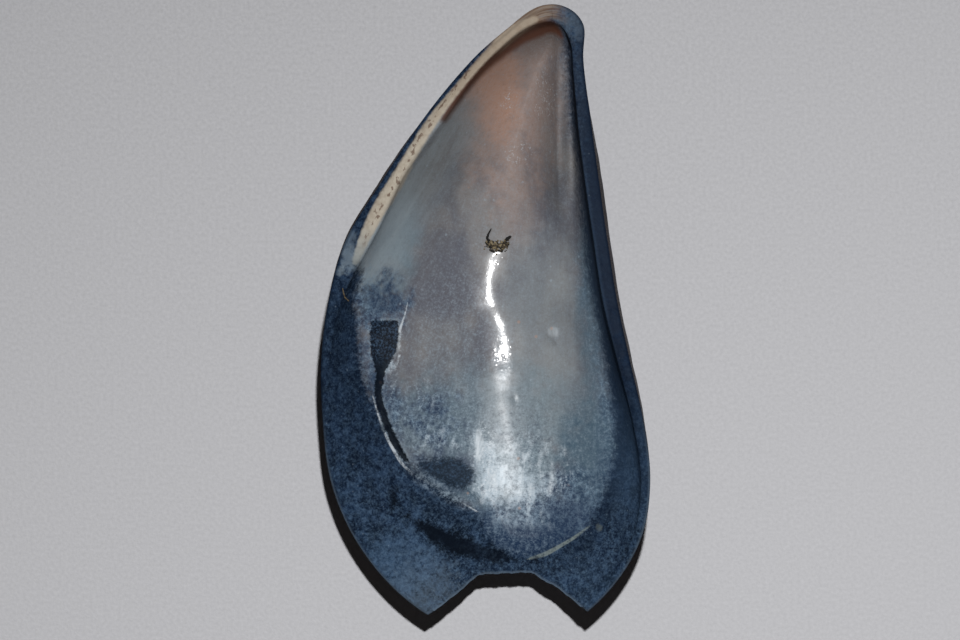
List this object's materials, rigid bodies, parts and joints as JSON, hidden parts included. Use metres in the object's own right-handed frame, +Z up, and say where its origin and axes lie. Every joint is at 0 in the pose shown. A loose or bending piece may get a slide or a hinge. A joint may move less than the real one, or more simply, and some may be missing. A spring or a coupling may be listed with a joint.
{
  "type": "mussel shell valve",
  "caption": "Single mussel valve lying on its back with the pearly hollow up, pointed beak, chalky hinge ridge along one side and a piece broken out of the wide end.",
  "frame": {"origin": "on the resting surface, under the middle of the valve's box", "axes": "+Y along the valve towards the beak, +X towards the straight lower margin, +Z up out of the hollow"},
  "size_m": [0.0378, 0.0696, 0.0179],
  "materials": {
    "shell": "pearly satin inside with a slate blue border, matt blue-black outside"
  },
  "bodies": {
    "root": {"valve": "shell"}
  },
  "joints": []
}
